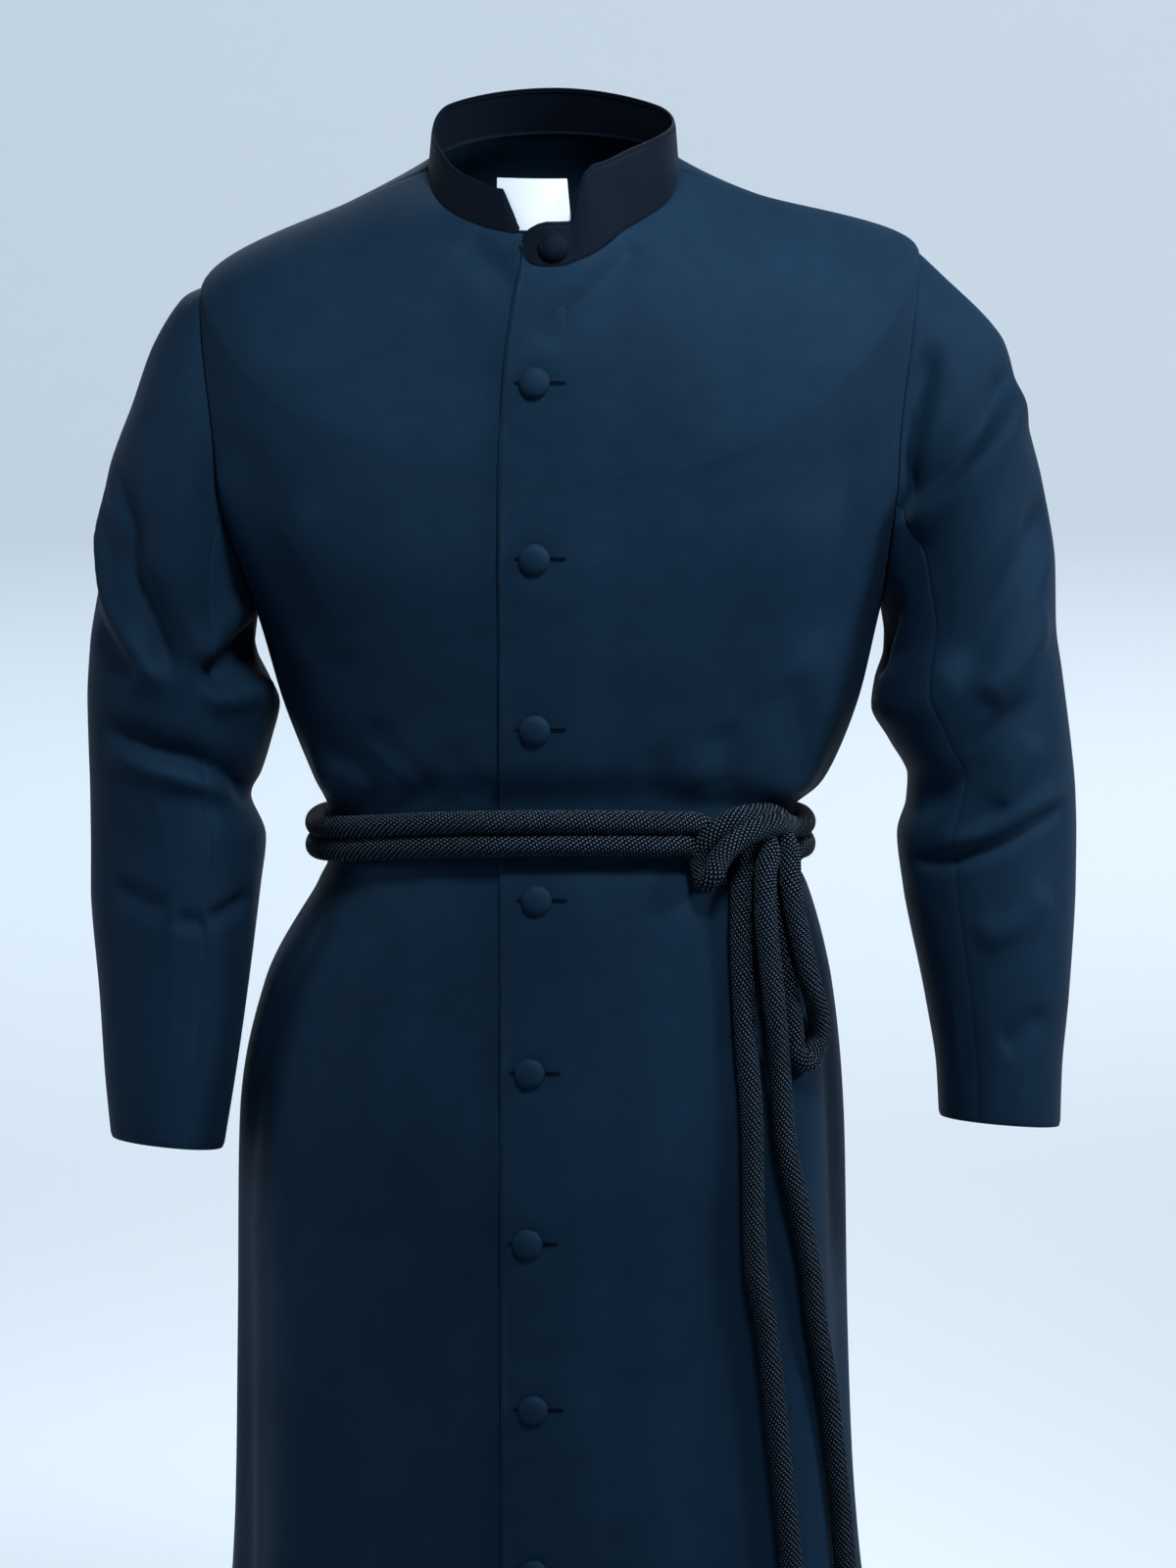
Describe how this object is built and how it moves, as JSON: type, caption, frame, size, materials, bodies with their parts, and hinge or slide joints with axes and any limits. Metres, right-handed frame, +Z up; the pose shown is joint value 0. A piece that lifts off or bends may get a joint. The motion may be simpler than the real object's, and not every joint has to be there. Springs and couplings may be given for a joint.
{
  "type": "cassock with rope cincture",
  "caption": "Full-length black cassock with stand collar, covered buttons down the front, long sleeves and a knotted rope cincture at the waist.",
  "frame": {"origin": "middle of the neck at the height where the shoulder seams meet the collar, held there by the wearer's shoulders", "axes": "+Z up along the standing wearer, -Y towards the garment's front, +X towards the wearer's left"},
  "size_m": [0.6685, 0.39, 1.4736],
  "materials": {
    "cloth": "black twill with a faint blue cast, soft sheen",
    "button_cloth": "the same cloth drawn over a button mould",
    "tab": "smooth white",
    "rope": "black knitted rope"
  },
  "bodies": {
    "root": {"front_left": "cloth", "front_right": "cloth", "back": "cloth", "sleeve_left_top": "cloth", "sleeve_left_under": "cloth", "sleeve_right_top": "cloth", "sleeve_right_under": "cloth", "collar": "cloth", "collar_tab": "tab", "button_collar": "button_cloth", "button_01": "button_cloth", "button_02": "button_cloth", "button_03": "button_cloth", "button_04": "button_cloth", "button_05": "button_cloth", "button_06": "button_cloth", "button_07": "button_cloth", "button_08": "button_cloth", "button_09": "button_cloth", "button_10": "button_cloth", "cincture_upper": "rope", "cincture_lower": "rope", "cincture_knot": "rope", "cincture_loop": "rope", "cincture_tail_a": "rope", "cincture_tail_b": "rope", "end_knot_a": "rope", "end_knot_b": "rope"}
  },
  "joints": []
}
